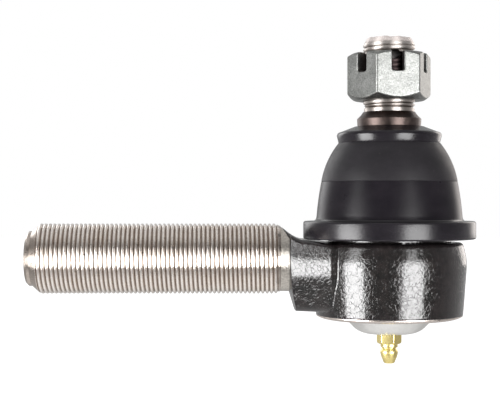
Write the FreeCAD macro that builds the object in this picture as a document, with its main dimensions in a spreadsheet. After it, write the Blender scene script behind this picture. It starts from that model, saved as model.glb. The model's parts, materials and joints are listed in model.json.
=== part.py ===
"""A heavy-duty tie rod end: a forged housing with a threaded shank, and a ball stud that swings in it.

The origin is the centre of the ball. +Z runs up the stud and the shank runs along -X.
Sizes are in millimetres and angles in degrees.
"""

import FreeCAD, Part
import math
import os

import Sketcher
from FreeCAD import Vector

doc = FreeCAD.newDocument("tie_rod_end")

# --------------------------------------------------------------------------------------------------
# The driving sizes. Heights are measured up from the centre of the ball, drops are measured down from it.
# --------------------------------------------------------------------------------------------------

SIZES = {
    # threaded shank: a 1 inch thread, 16 to the inch
    "shank_reach": 131.0,
    "shank_diameter": 25.4,
    "shank_pitch": 1.5875,
    "shank_thread_depth": 0.95,
    "shank_runout_reach": 40.6,
    "pilot_diameter": 19.86,
    "pilot_length": 2.0,
    "pilot_chamfer": 0.9,
    "lead_length": 3.2,
    # neck between shank and head
    "neck_reach": 36.7,
    "neck_diameter": 23.5,
    "neck_top": 9.6,
    "tail_reach": 34.8,
    "tail_half_width": 13.2,
    "tail_top": 8.4,
    "tail_bottom": 18.4,
    "waist_reach": 30.5,
    "waist_half_width": 14.6,
    "waist_top": 6.5,
    "root_reach": 19.0,
    "root_half_width": 18.2,
    "root_top": 5.2,
    "tail_flank": 2.0,
    "tail_flank_curve": 26.0,
    # forged head
    "head_top": 6.0,
    "head_diameter": 56.0,
    "head_edge_diameter": 53.0,
    "parting_drop": 0.6,
    "head_side_drop": 20.1,
    "lip_drop": 21.6,
    "lip_opening": 43.6,
    "lip_curve": 7.0,
    "boss_diameter": 44.0,
    "boss_height": 14.0,
    "mouth_clearance": 0.45,
    # cover plate
    "cover_diameter": 47.8,
    "cover_thickness": 2.0,
    "cover_seat_drop": 18.9,
    "dome_diameter": 32.0,
    "dome_drop": 27.0,
    "dome_corner": 6.0,
    # ball stud
    "ball_diameter": 31.75,
    "stud_neck_diameter": 19.0,
    "stud_neck_height": 20.0,
    "taper_foot_height": 27.0,
    "taper_top_height": 51.0,
    "taper_top_diameter": 23.2,
    "taper_per_length": 0.125,
    "stud_diameter": 18.8,
    "stud_pitch": 1.5875,
    "stud_thread_depth": 0.95,
    "stud_shoulder_rise": 2.3,
    "stud_height": 80.3,
    "stud_end_diameter": 14.6,
    "stud_end_chamfer": 2.5,
    "pip_diameter": 6.0,
    "pip_height": 0.4,
    "cotter_diameter": 4.0,
    "cotter_height": 73.3,
    "cotter_turn": 8.0,
    # how far the stud swings from upright when both of its swings are at their limits
    "swing_corner": 21.1,
    # slotted nut
    "nut_flats": 27.0,
    "nut_foot_height": 57.1,
    "nut_thickness": 17.1,
    "nut_slot_width": 4.6,
    "nut_slot_depth": 7.3,
    "nut_top_chamfer_diameter": 26.2,
    "nut_top_chamfer_angle": 30.0,
    "nut_foot_chamfer_diameter": 25.4,
    "nut_foot_chamfer_angle": 38.0,
    "nut_bore_chamfer": 0.6,
    # bearing liners and pressure seat
    "liner_thickness": 1.6,
    "upper_liner_neck_gap": 1.77,
    "upper_liner_edge": 75.0,
    "lower_liner_opening": 10.0,
    "lower_liner_edge": 55.0,
    "seat_top_drop": 9.0,
    "seat_foot_diameter": 25.0,
    "seat_foot_length": 2.0,
    "seat_hole_diameter": 5.0,
    "seat_travel": 0.6,
    # preload spring
    "spring_diameter": 17.0,
    "spring_wire": 1.5,
    "spring_pitch": 1.9,
    # grease fitting
    "fitting_flats": 7.94,
    "fitting_hex_length": 3.8,
    "fitting_shank_diameter": 6.35,
    "fitting_neck_diameter": 5.4,
    "fitting_neck_length": 1.9,
    "fitting_head_diameter": 6.54,
    "fitting_head_length": 5.2,
    "fitting_tip_diameter": 3.8,
    "fitting_bore": 2.8,
    "fitting_inlet": 1.7,
    "fitting_tip_wall": 0.6,
    "fitting_outlet": 1.4,
    "fitting_shank_length": 3.2,
    "valve_ball_diameter": 2.5,
    "valve_spring_wire": 0.3,
    "valve_spring_diameter": 1.8,
    "valve_spring_pitch": 0.75,
    # dust boot and the steel ring in its flange
    "flange_diameter": 62.2,
    "flange_foot": 7.1,
    "flange_top": 13.6,
    "flange_corner": 0.5,
    "bell_foot_diameter": 52.6,
    "bell_foot_height": 15.1,
    "bell_crease_diameter": 49.1,
    "bell_crease_height": 27.8,
    "bell_curve": 110.0,
    "dome_curve": 23.0,
    "groove_diameter": 37.0,
    "groove_height": 43.0,
    "boot_lip_diameter": 37.8,
    "boot_lip_height": 46.1,
    "boot_height": 47.8,
    "boot_wall": 2.6,
    "boot_lip_depth": 6.2,
    "boot_pad_diameter": 51.2,
    "ring_diameter": 57.0,
    "ring_foot": 8.2,
    "ring_thickness": 2.6,
    # clearances, each on the radius or on one face
    "liner_clearance": 0.06,
    "running_clearance": 0.05,
    "seating_clearance": 0.05,
    "sealing_clearance": 0.05,
}

sheet = doc.addObject("Spreadsheet::Sheet", "sizes")
for row, (alias, size) in enumerate(SIZES.items(), start=1):
    sheet.set(f"A{row}", alias)
    sheet.set(f"B{row}", str(size))
    sheet.setAlias(f"B{row}", alias)
doc.recompute()


class Size:
    """A length worked out from the sheet's cells.

    Its formula drives the model, and its value places a first guess for the sketch solver.
    """

    def __init__(self, formula):
        self.formula = str(formula)

    def __add__(self, other):
        return Size(f"({self.formula} + {formula_of(other)})")

    def __sub__(self, other):
        return Size(f"({self.formula} - {formula_of(other)})")

    def __mul__(self, other):
        return Size(f"({self.formula} * {formula_of(other)})")

    def __truediv__(self, other):
        return Size(f"({self.formula} / {formula_of(other)})")

    def __neg__(self):
        return Size(f"(0 - {self.formula})")

    @property
    def value(self):
        return float(sheet.evalExpression(self.formula))


def formula_of(length):
    return length.formula if isinstance(length, Size) else str(length)


def cell(alias):
    return Size(f"sizes.{alias}")


def half(alias):
    return cell(alias) / 2


def on_circle(radius, across):
    """How far from the centre line a circle of this radius is at this distance across it."""
    return Size(f"sqrt({radius.formula}^2 - {formula_of(across)}^2)")


def polar(radius, angle):
    """A point on a circle about the origin, at an angle from the vertical: (across, up)."""
    return radius * Size(f"sin({angle.formula})"), radius * Size(f"cos({angle.formula})")


ZERO = Size("0")

# --------------------------------------------------------------------------------------------------
# Lengths that more than one piece is made to
# --------------------------------------------------------------------------------------------------

ball_radius = half("ball_diameter")
liner_inside = ball_radius + cell("liner_clearance")
liner_outside = liner_inside + cell("liner_thickness")
socket_radius = liner_outside + cell("liner_clearance")
boss_radius = half("boss_diameter")
seat_foot_drop = cell("cover_seat_drop") - cell("seat_travel")
cover_face_drop = cell("cover_seat_drop") + cell("cover_thickness")
dome_floor_drop = cell("dome_drop") - cell("cover_thickness")
seat_boss_drop = seat_foot_drop + cell("seat_foot_length")
stud_thread_foot = cell("taper_top_height") + cell("stud_shoulder_rise")
nut_top = cell("nut_foot_height") + cell("nut_thickness")
fitting_hex_drop = cell("dome_drop") + cell("fitting_hex_length")
fitting_neck_drop = fitting_hex_drop + cell("fitting_neck_length")
fitting_tip_drop = fitting_neck_drop + cell("fitting_head_length")
valve_floor_drop = fitting_tip_drop - cell("fitting_tip_wall")
valve_ball_radius = half("valve_ball_diameter")
valve_ball_drop = (
    valve_floor_drop - on_circle(valve_ball_radius, half("fitting_inlet")) - cell("liner_clearance") / 2
)
ring_top = cell("ring_foot") + cell("ring_thickness")
liner_opening_radius = half("stud_neck_diameter") + cell("upper_liner_neck_gap")
upper_liner_opening = Size(f"asin({(liner_opening_radius / liner_inside).formula})")

# The mouth is cut along the side of the neck when the stud is swung as far as it goes, plus a clearance.
swing_sine = Size("sin(sizes.swing_corner)")
swing_cosine = Size("cos(sizes.swing_corner)")
swung_side = half("stud_neck_diameter") + cell("mouth_clearance")
swung_reach = on_circle(socket_radius, swung_side)
mouth_radius = swung_side * swing_cosine + swung_reach * swing_sine
mouth_height = swung_reach * swing_cosine - swung_side * swing_sine
flare_radius = mouth_radius + (cell("boss_height") - mouth_height) * swing_sine / swing_cosine


def taper_radius(height):
    """The radius of the stud's tapered seat at a height."""
    return half("taper_top_diameter") + (cell("taper_top_height") - height) * cell("taper_per_length") / 2


# --------------------------------------------------------------------------------------------------
# Helpers for bodies, sketches and features
# --------------------------------------------------------------------------------------------------

bodies = []


def new_body(name):
    body = doc.addObject("PartDesign::Body", name)
    body.Label = name
    bodies.append(body)
    return body


def origin_part(body, role):
    return next(item for item in body.Origin.OriginFeatures if item.Role == role)


def new_sketch(body, name, role, offset=None):
    """A sketch on one of the body's own origin planes, moved along the plane's normal by an offset."""
    sketch = body.newObject("Sketcher::SketchObject", name)
    sketch.AttachmentSupport = [(origin_part(body, role), "")]
    sketch.MapMode = "FlatFace"
    if offset is not None:
        sketch.setExpression("AttachmentOffset.Base.z", offset.formula)
    return sketch


def constrain(sketch, kind, *place, size):
    index = sketch.addConstraint(Sketcher.Constraint(kind, *place, size.value))
    sketch.setExpression(f"Constraints[{index}]", size.formula)


def edge_between(start, end, bend):
    """A straight edge, or an arc when a bend is given: plus turns left on the way and minus turns right."""
    if bend is None:
        return Part.LineSegment(start, end), 1, 2
    turn = 1 if bend > 0 else -1
    middle = (start + end) / 2
    along = end - start
    aside = Vector(-along.y, along.x, 0).normalize()
    centre = middle + aside * turn * math.sqrt(bend * bend - (along.Length / 2) ** 2)
    first, last = (start, end) if turn > 0 else (end, start)
    angles = [math.atan2(point.y - centre.y, point.x - centre.x) for point in (first, last)]
    arc = Part.ArcOfCircle(Part.Circle(centre, Vector(0, 0, 1), abs(bend)), *angles)
    return (arc, 1, 2) if turn > 0 else (arc, 2, 1)


def outline(sketch, corners):
    """Closes a loop through corners of (across, up), each located from the origin.

    A third member bends the edge that leaves the corner: a (radius, turn) pair, where turn is +1 for an
    arc that turns left and -1 for one that turns right.
    """
    spots = [Vector(corner[0].value, corner[1].value, 0) for corner in corners]
    edges = []
    for index, corner in enumerate(corners):
        bend = corner[2][0].value * corner[2][1] if len(corner) > 2 else None
        geometry, start, end = edge_between(spots[index], spots[(index + 1) % len(corners)], bend)
        edges.append((sketch.addGeometry(geometry, False), start, end))
    for index, corner in enumerate(corners):
        edge, start, _ = edges[index]
        previous, _, previous_end = edges[index - 1]
        sketch.addConstraint(Sketcher.Constraint("Coincident", previous, previous_end, edge, start))
        constrain(sketch, "DistanceX", edge, start, size=corner[0])
        constrain(sketch, "DistanceY", edge, start, size=corner[1])
        if len(corner) > 2:
            constrain(sketch, "Radius", edge, size=corner[2][0])


def circle(sketch, across, up, radius):
    centre = Vector(across.value, up.value, 0)
    index = sketch.addGeometry(Part.Circle(centre, Vector(0, 0, 1), radius.value), False)
    constrain(sketch, "DistanceX", index, 3, size=across)
    constrain(sketch, "DistanceY", index, 3, size=up)
    constrain(sketch, "Radius", index, size=radius)


def turned(body, name, corners, axis="V_Axis", kind="Revolution"):
    """Turns an outline in the XZ plane about Z (V_Axis) or X (H_Axis). A Revolution adds, a Groove cuts."""
    sketch = new_sketch(body, f"{name}_outline", "XZ_Plane")
    outline(sketch, corners)
    feature = body.newObject(f"PartDesign::{kind}", name)
    feature.Profile = sketch
    feature.ReferenceAxis = (sketch, [axis])
    feature.Angle = 360
    return feature


def thread(body, name, axis, start, radius, depth, pitch, turns):
    """Cuts a thread as ring grooves, one per turn, whose crests stay true cylinders of the major diameter."""
    root = radius - depth
    over = radius + depth / 4
    corners = [
        (start + pitch * 0.42, root),
        (start + pitch * 0.58, root),
        (start + pitch * 1.03, over),
        (start - pitch * 0.03, over),
    ]
    if axis == "Z_Axis":
        corners = [(across, along) for along, across in corners]
    groove = turned(body, f"{name}_turn", corners, "V_Axis" if axis == "Z_Axis" else "H_Axis", "Groove")
    pattern = body.newObject("PartDesign::LinearPattern", name)
    pattern.Originals = [groove]
    pattern.Direction = (origin_part(body, axis), [""])
    pattern.setExpression("Occurrences", turns.formula)
    pattern.setExpression("Length", (pitch * (turns - 1)).formula)
    body.Tip = pattern


def pad(body, name, sketch, length, kind="Pad", symmetric=False, reverse=False):
    feature = body.newObject(f"PartDesign::{kind}", name)
    feature.Profile = sketch
    feature.setExpression("Length", length.formula)
    feature.Midplane = symmetric
    feature.Reversed = reverse
    return feature


def hexagon(sketch, flats):
    """A hexagon with two flats square to the sketch's vertical axis."""
    corner = flats / math.sqrt(3)
    side = corner / 2
    reach = flats / 2
    upper = [(corner, ZERO), (side, reach), (-side, reach)]
    outline(sketch, upper + [(-across, -up) for across, up in upper])


def coil(body, name, radius, wire, foot, pitch, rise):
    """A round-wire coil about Z that starts at a foot height and rises along its centre line."""
    sketch = new_sketch(body, f"{name}_wire", "XZ_Plane")
    circle(sketch, radius, foot, wire)
    helix = body.newObject("PartDesign::AdditiveHelix", name)
    helix.Profile = sketch
    helix.ReferenceAxis = (sketch, ["V_Axis"])
    helix.Mode = 0
    helix.setExpression("Pitch", pitch.formula)
    helix.setExpression("Height", rise.formula)


# --------------------------------------------------------------------------------------------------
# The pieces
# --------------------------------------------------------------------------------------------------


def tail_section(body, name, reach, half_width, top, bottom):
    """One section of the forged tail: flat on top, rounded under, square to the shank."""
    sketch = new_sketch(body, name, "YZ_Plane", -reach)
    flank = -cell("tail_flank")
    bend = (cell("tail_flank_curve"), -1)
    outline(
        sketch,
        [
            (-half_width, top),
            (half_width, top),
            (half_width, flank, bend),
            (ZERO, -bottom, bend),
            (-half_width, flank),
        ],
    )
    return sketch


def make_housing():
    """The forging: head, tail and threaded shank in one piece, bored from below for the ball."""
    body = new_body("housing")
    head_edge = half("head_edge_diameter")
    turned(
        body,
        "head",
        [
            (ZERO, cell("boss_height")),
            (boss_radius, cell("boss_height")),
            (boss_radius, cell("head_top")),
            (head_edge, cell("head_top")),
            (half("head_diameter"), -cell("parting_drop")),
            (head_edge, -cell("head_side_drop"), (cell("lip_curve"), -1)),
            (half("lip_opening"), -cell("lip_drop")),
            (ZERO, -cell("lip_drop")),
        ],
    )
    pilot = half("pilot_diameter")
    pilot_end = cell("shank_reach") - cell("pilot_length")
    shank = half("shank_diameter")
    turned(
        body,
        "shank",
        [
            (-cell("shank_reach"), ZERO),
            (-cell("shank_reach"), pilot - cell("pilot_chamfer")),
            (-cell("shank_reach") + cell("pilot_chamfer"), pilot),
            (-pilot_end, pilot),
            (-pilot_end + cell("lead_length"), shank),
            (-cell("shank_runout_reach"), shank),
            (-cell("shank_runout_reach") + cell("shank_thread_depth"), half("neck_diameter")),
            (-cell("neck_reach"), half("neck_diameter")),
            (-cell("neck_reach"), ZERO),
        ],
        "H_Axis",
    )
    loft = body.newObject("PartDesign::AdditiveLoft", "tail")
    neck = half("neck_diameter")
    loft.Profile = tail_section(body, "neck_section", cell("neck_reach"), neck - 1, cell("neck_top"), neck)
    loft.Sections = [
        tail_section(
            body,
            f"{place}_section",
            cell(f"{place}_reach"),
            cell(f"{place}_half_width"),
            cell(f"{place}_top"),
            cell("tail_bottom"),
        )
        for place in ("tail", "waist", "root")
    ]
    loft.Ruled = True
    lip_face = (half("lip_opening"), -cover_face_drop)
    turned(
        body,
        "bore",
        [
            (ZERO, cell("boss_height") + 1),
            (flare_radius, cell("boss_height") + 1),
            (flare_radius, cell("boss_height")),
            (mouth_radius, mouth_height, (socket_radius, -1)),
            (socket_radius, ZERO),
            (socket_radius, -cell("cover_seat_drop")),
            (half("cover_diameter") + cell("seating_clearance"), -cell("cover_seat_drop")),
            (half("cover_diameter") + cell("seating_clearance"), -cover_face_drop),
            lip_face,
            (half("lip_opening"), -cell("lip_drop") - 1),
            (ZERO, -cell("lip_drop") - 1),
        ],
        kind="Groove",
    )
    thread_foot = cell("shank_reach") - cell("pilot_length") - cell("lead_length") / 2
    turns = Size(f"floor(({thread_foot.formula} - sizes.shank_runout_reach) / sizes.shank_pitch)")
    thread(
        body,
        "shank_thread",
        "X_Axis",
        -thread_foot,
        shank,
        cell("shank_thread_depth"),
        cell("shank_pitch"),
        turns,
    )


def make_cover_plate():
    """A pressed steel disc with a domed middle, held in the housing by the rolled lip."""
    body = new_body("cover_plate")
    wall = cell("cover_thickness")
    outer = half("dome_diameter")
    corner = cell("dome_corner")
    hole = half("fitting_shank_diameter") + cell("seating_clearance")
    turned(
        body,
        "disc",
        [
            (hole, -dome_floor_drop),
            (outer - corner, -dome_floor_drop, (corner - wall, 1)),
            (outer - wall, -dome_floor_drop + corner - wall),
            (outer - wall, -cell("cover_seat_drop")),
            (half("cover_diameter"), -cell("cover_seat_drop")),
            (half("cover_diameter"), -cover_face_drop),
            (outer, -cover_face_drop),
            (outer, -cell("dome_drop") + corner, (corner, -1)),
            (outer - corner, -cell("dome_drop")),
            (hole, -cell("dome_drop")),
        ],
    )


def make_ball_stud():
    """Ball, waisted neck, tapered seat and threaded end, with a hole for the cotter pin."""
    body = new_body("ball_stud")
    neck = half("stud_neck_diameter")
    neck_foot = on_circle(ball_radius, neck)
    stud = half("stud_diameter")
    pip = half("pip_diameter")
    turned(
        body,
        "stud",
        [
            (ZERO, -ball_radius, (ball_radius, 1)),
            (neck, neck_foot),
            (neck, cell("stud_neck_height")),
            (taper_radius(cell("taper_foot_height")), cell("taper_foot_height")),
            (half("taper_top_diameter"), cell("taper_top_height")),
            (stud, stud_thread_foot),
            (stud, cell("stud_height") - cell("stud_end_chamfer")),
            (half("stud_end_diameter"), cell("stud_height")),
            (pip, cell("stud_height")),
            (pip, cell("stud_height") + cell("pip_height")),
            (ZERO, cell("stud_height") + cell("pip_height")),
        ],
    )
    hole = new_sketch(body, "cotter_outline", "XZ_Plane")
    circle(hole, ZERO, cell("cotter_height"), half("cotter_diameter"))
    pad(body, "cotter_hole", hole, cell("stud_diameter") * 2, "Pocket", symmetric=True)
    room = cell("stud_height") - stud_thread_foot - cell("stud_end_chamfer") / 2
    turns = Size(f"floor({room.formula} / sizes.stud_pitch)")
    thread(
        body,
        "stud_thread",
        "Z_Axis",
        stud_thread_foot,
        stud,
        cell("stud_thread_depth"),
        cell("stud_pitch"),
        turns,
    )
    body.setExpression("Placement.Rotation.Angle", "sizes.cotter_turn")


def make_slotted_nut():
    """A hexagon slotted nut, chamfered at both ends, with a slot in the middle of each flat."""
    body = new_body("slotted_nut")
    base = new_sketch(body, "hexagon", "XY_Plane", cell("nut_foot_height"))
    hexagon(base, cell("nut_flats"))
    pad(body, "blank", base, cell("nut_thickness"))
    beyond = cell("nut_flats") / math.sqrt(3) + 1
    for end, face, way in (("top", nut_top, 1), ("foot", cell("nut_foot_height"), -1)):
        rim = half(f"nut_{end}_chamfer_diameter")
        drop = (beyond - rim) * Size(f"tan(sizes.nut_{end}_chamfer_angle)")
        corners = [(rim, face), (beyond, face - drop * way), (beyond, face + way), (rim, face + way)]
        turned(body, f"{end}_chamfer", corners, kind="Groove")
    bore = half("stud_diameter") + cell("running_clearance")
    mouth = bore + cell("nut_bore_chamfer")
    turned(
        body,
        "bore",
        [
            (ZERO, cell("nut_foot_height") - 1),
            (mouth + 1, cell("nut_foot_height") - 1),
            (bore, cell("nut_foot_height") + cell("nut_bore_chamfer")),
            (bore, nut_top - cell("nut_bore_chamfer")),
            (mouth + 1, nut_top + 1),
            (ZERO, nut_top + 1),
        ],
        kind="Groove",
    )
    slot = new_sketch(body, "slot_outline", "XZ_Plane")
    side = half("nut_slot_width")
    floor = nut_top - cell("nut_slot_depth")
    outline(slot, [(-side, floor), (side, floor), (side, nut_top + 1), (-side, nut_top + 1)])
    cut = pad(body, "slot", slot, cell("nut_flats") * 2, "Pocket", symmetric=True)
    slots = body.newObject("PartDesign::PolarPattern", "slots")
    slots.Originals = [cut]
    slots.Axis = (origin_part(body, "Z_Axis"), [""])
    slots.Angle = 360
    slots.Occurrences = 3
    body.Tip = slots
    body.setExpression("Placement.Rotation.Angle", "sizes.cotter_turn")


def make_liner(name, low_edge, high_edge):
    """A thin spherical zone of bearing material round the ball, between two angles from the stud's axis."""
    body = new_body(name)
    inner_low, inner_high = polar(liner_inside, low_edge), polar(liner_inside, high_edge)
    outer_low, outer_high = polar(liner_outside, low_edge), polar(liner_outside, high_edge)
    turned(
        body,
        "zone",
        [
            (*inner_low, (liner_inside, 1)),
            inner_high,
            (*outer_high, (liner_outside, -1)),
            outer_low,
        ],
    )


def make_pressure_seat():
    """The cup that the spring presses up against the lower liner."""
    body = new_body("pressure_seat")
    hole = half("seat_hole_diameter")
    side = socket_radius - cell("running_clearance")
    rim = on_circle(socket_radius, cell("seat_top_drop"))
    turned(
        body,
        "cup",
        [
            (hole, -on_circle(socket_radius, hole), (socket_radius, 1)),
            (rim, -cell("seat_top_drop")),
            (side, -cell("seat_top_drop")),
            (side, -seat_foot_drop),
            (half("seat_foot_diameter"), -seat_foot_drop),
            (half("seat_foot_diameter"), -seat_boss_drop),
            (hole, -seat_boss_drop),
        ],
    )


def make_preload_spring():
    body = new_body("preload_spring")
    wire = half("spring_wire")
    foot = -dome_floor_drop + wire + cell("seating_clearance")
    rise = dome_floor_drop - seat_boss_drop - cell("spring_wire") - cell("seating_clearance") * 2
    coil(body, "coil", half("spring_diameter"), wire, foot, cell("spring_pitch"), rise)


def make_grease_fitting():
    """A straight grease nipple: shank through the cover, hexagon, neck and button head, and a bore."""
    body = new_body("grease_fitting")
    base = new_sketch(body, "hexagon", "XY_Plane", -fitting_hex_drop)
    hexagon(base, cell("fitting_flats"))
    pad(body, "hexagon_blank", base, cell("fitting_hex_length"))
    head = half("fitting_head_diameter")
    neck = half("fitting_neck_diameter")
    tip = half("fitting_tip_diameter")
    bulge = fitting_neck_drop + cell("fitting_head_length") / 3
    turned(
        body,
        "head",
        [
            (ZERO, -fitting_hex_drop),
            (neck + 0.9, -fitting_hex_drop),
            (neck, -fitting_neck_drop),
            (head, -bulge),
            (head, -bulge - cell("fitting_head_length") / 5),
            (tip, -fitting_tip_drop),
            (ZERO, -fitting_tip_drop),
        ],
    )
    shank = half("fitting_shank_diameter")
    shank_top = cell("dome_drop") - cell("fitting_shank_length")
    turned(
        body,
        "shank",
        [(ZERO, -cell("dome_drop")), (shank, -cell("dome_drop")), (shank, -shank_top), (ZERO, -shank_top)],
    )
    bore = half("fitting_bore")
    turned(
        body,
        "passage",
        [
            (ZERO, -fitting_tip_drop - 1),
            (half("fitting_inlet"), -fitting_tip_drop - 1),
            (half("fitting_inlet"), -valve_floor_drop),
            (bore, -valve_floor_drop),
            (bore, -fitting_hex_drop),
            (half("fitting_outlet"), -fitting_hex_drop),
            (half("fitting_outlet"), -shank_top + 1),
            (ZERO, -shank_top + 1),
        ],
        kind="Groove",
    )


def make_grease_valve():
    """The check ball that closes the nipple's inlet, and the spring that holds it there."""
    ball = new_body("grease_valve_ball")
    turned(
        ball,
        "sphere",
        [
            (ZERO, -valve_ball_drop - valve_ball_radius, (valve_ball_radius, 1)),
            (valve_ball_radius, -valve_ball_drop, (valve_ball_radius, 1)),
            (ZERO, -valve_ball_drop + valve_ball_radius),
        ],
    )
    spring = new_body("grease_valve_spring")
    wire = half("valve_spring_wire")
    gap = cell("seating_clearance")
    foot = -valve_ball_drop + valve_ball_radius + wire + gap
    rise = valve_ball_drop - valve_ball_radius - fitting_hex_drop - cell("valve_spring_wire") - gap * 2
    coil(spring, "coil", half("valve_spring_diameter"), wire, foot, cell("valve_spring_pitch"), rise)


def make_dust_boot():
    """The rubber boot: a flange round the housing's boss, a bell, and a lip that grips the stud's taper."""
    body = new_body("dust_boot")
    bore = boss_radius + cell("sealing_clearance")
    flange = half("flange_diameter")
    corner = cell("flange_corner")
    foot = half("bell_foot_diameter")
    crease = half("bell_crease_diameter")
    lip = half("boot_lip_diameter")
    wall = cell("boot_wall")
    grip_foot = cell("boot_height") - cell("boot_lip_depth")
    grip = cell("sealing_clearance")
    ring_hold = half("ring_diameter") + cell("seating_clearance") / 2
    shoulder = cell("groove_height") - cell("boot_wall") / 2
    turned(
        body,
        "boot",
        [
            (bore, cell("head_top")),
            (half("boot_pad_diameter"), cell("head_top")),
            (half("boot_pad_diameter"), cell("flange_foot")),
            (flange - corner, cell("flange_foot")),
            (flange, cell("flange_foot") + corner),
            (flange, cell("flange_top") - corner),
            (flange - corner, cell("flange_top")),
            (foot + 1, cell("flange_top")),
            (foot, cell("bell_foot_height"), (cell("bell_curve"), 1)),
            (crease, cell("bell_crease_height"), (cell("dome_curve"), 1)),
            (half("groove_diameter") + 0.5, shoulder),
            (half("groove_diameter"), cell("groove_height")),
            (lip, cell("groove_height") + 0.6),
            (lip, cell("boot_lip_height")),
            (taper_radius(cell("boot_height")) + grip, cell("boot_height")),
            (taper_radius(grip_foot) + grip, grip_foot),
            (half("groove_diameter") - wall * 1.6, grip_foot - wall / 2, (cell("dome_curve") - wall, -1)),
            (crease - wall, cell("bell_crease_height"), (cell("bell_curve") - wall, -1)),
            (foot - wall, cell("bell_foot_height")),
            (bore, cell("boss_height")),
            (bore, ring_top),
            (ring_hold, ring_top),
            (ring_hold, cell("ring_foot")),
            (bore, cell("ring_foot")),
        ],
    )


def make_boot_ring():
    """The steel ring moulded into the boot's flange, which grips the housing's boss."""
    body = new_body("boot_base_ring")
    bore = boss_radius + cell("sealing_clearance")
    edge = half("ring_diameter")
    turned(
        body,
        "ring",
        [(bore, cell("ring_foot")), (edge, cell("ring_foot")), (edge, ring_top), (bore, ring_top)],
    )


make_housing()
make_cover_plate()
make_ball_stud()
make_slotted_nut()
make_liner("upper_bearing_liner", cell("upper_liner_edge"), upper_liner_opening)
half_turn = Size("180")
lower_edges = (half_turn - cell("lower_liner_opening"), half_turn - cell("lower_liner_edge"))
make_liner("lower_bearing_liner", *lower_edges)
make_pressure_seat()
make_preload_spring()
make_grease_fitting()
make_grease_valve()
make_dust_boot()
make_boot_ring()
doc.recompute()

# --------------------------------------------------------------------------------------------------
# Checks, then one STEP file for each piece
# --------------------------------------------------------------------------------------------------

for item in doc.Objects:
    if "Invalid" in item.State or "Error" in item.State:
        raise SystemExit(f"{item.Name} of {item.Label} did not rebuild: {item.State}")
for body in bodies:
    if body.Shape.isNull() or not body.Shape.isValid() or not body.Shape.Solids:
        raise SystemExit(f"{body.Label} is not a valid solid")

os.makedirs("parts", exist_ok=True)
for body in bodies:
    body.Shape.exportStep(f"parts/{body.Label}.step")
    print(f"{body.Label}: {body.Shape.Volume:.1f} mm3, {len(body.Shape.Solids)} solid(s)")
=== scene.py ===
"""The looks of a heavy-duty tie rod end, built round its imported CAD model.

Lengths are worked out in millimetres and turned into metres when a mesh is made. The origin is the
centre of the ball, +Z runs up the stud and the shank runs along -X.
"""

import json
import math

import bmesh
import bpy
import numpy as np
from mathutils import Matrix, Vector, noise


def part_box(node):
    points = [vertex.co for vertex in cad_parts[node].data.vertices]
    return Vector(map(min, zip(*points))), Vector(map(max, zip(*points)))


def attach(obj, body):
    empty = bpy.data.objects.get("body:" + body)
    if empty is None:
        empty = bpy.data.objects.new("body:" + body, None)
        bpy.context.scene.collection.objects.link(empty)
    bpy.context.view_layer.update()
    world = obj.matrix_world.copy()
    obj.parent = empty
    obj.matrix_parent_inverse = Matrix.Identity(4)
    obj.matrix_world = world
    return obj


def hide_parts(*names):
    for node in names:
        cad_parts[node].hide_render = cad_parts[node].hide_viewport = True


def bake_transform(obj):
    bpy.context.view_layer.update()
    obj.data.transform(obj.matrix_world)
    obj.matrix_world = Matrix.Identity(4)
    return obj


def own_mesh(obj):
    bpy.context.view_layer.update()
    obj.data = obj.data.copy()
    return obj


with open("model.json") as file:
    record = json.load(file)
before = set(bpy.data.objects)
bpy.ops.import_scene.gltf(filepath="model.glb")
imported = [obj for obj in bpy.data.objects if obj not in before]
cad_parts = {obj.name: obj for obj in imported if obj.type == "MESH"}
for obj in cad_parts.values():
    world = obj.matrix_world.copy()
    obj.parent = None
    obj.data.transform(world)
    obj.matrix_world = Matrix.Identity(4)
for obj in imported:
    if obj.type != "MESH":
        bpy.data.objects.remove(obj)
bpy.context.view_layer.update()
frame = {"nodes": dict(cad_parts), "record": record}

MM = 0.001
TURN = 2 * math.pi
LATHE_STEPS = 192
THREAD_STEPS = 96


# ---- Sizes, in millimetres ----
def node_span(node):
    """Lowest and highest corner of a CAD node."""
    low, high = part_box(node)
    return low / MM, high / MM


mounts = {mount["name"]: mount for mount in frame["record"]["mounts"]}
shank_mount = mounts["shank_thread"]
cotter_mount = mounts["cotter_hole"]
stud_high = node_span("ball_stud")[1]
nut_low, nut_high = node_span("slotted_nut")
boot_high = node_span("dust_boot")[1]
cover_low, cover_high = node_span("cover_plate")
fitting_low = node_span("grease_fitting")[0]
housing_low, housing_high = node_span("housing")

PITCH = 1.5875
THREAD_DEPTH = 0.95
CREST_FLAT = 0.46
CREST_CROWN = 0.14
ROOT_FLAT = 0.03
PROFILE_STEPS = 14

FORGING_CELL = 0.42
FITTING_CELL = 0.16
NUT_CELL = 0.24
WELD_DISTANCE = 0.0005

SHANK_RADIUS = shank_mount["dims"]["r_mm"]
SHANK_REACH = -housing_low.x
PILOT_RADIUS = 9.93
PILOT_LENGTH = 2.0
PILOT_CHAMFER = 0.9
LEAD_LENGTH = 3.2
RUNOUT_LENGTH = 2.2
NECK_RADIUS = SHANK_RADIUS - THREAD_DEPTH
NECK_START = 39.4
NECK_INNER_END = 31.0

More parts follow.
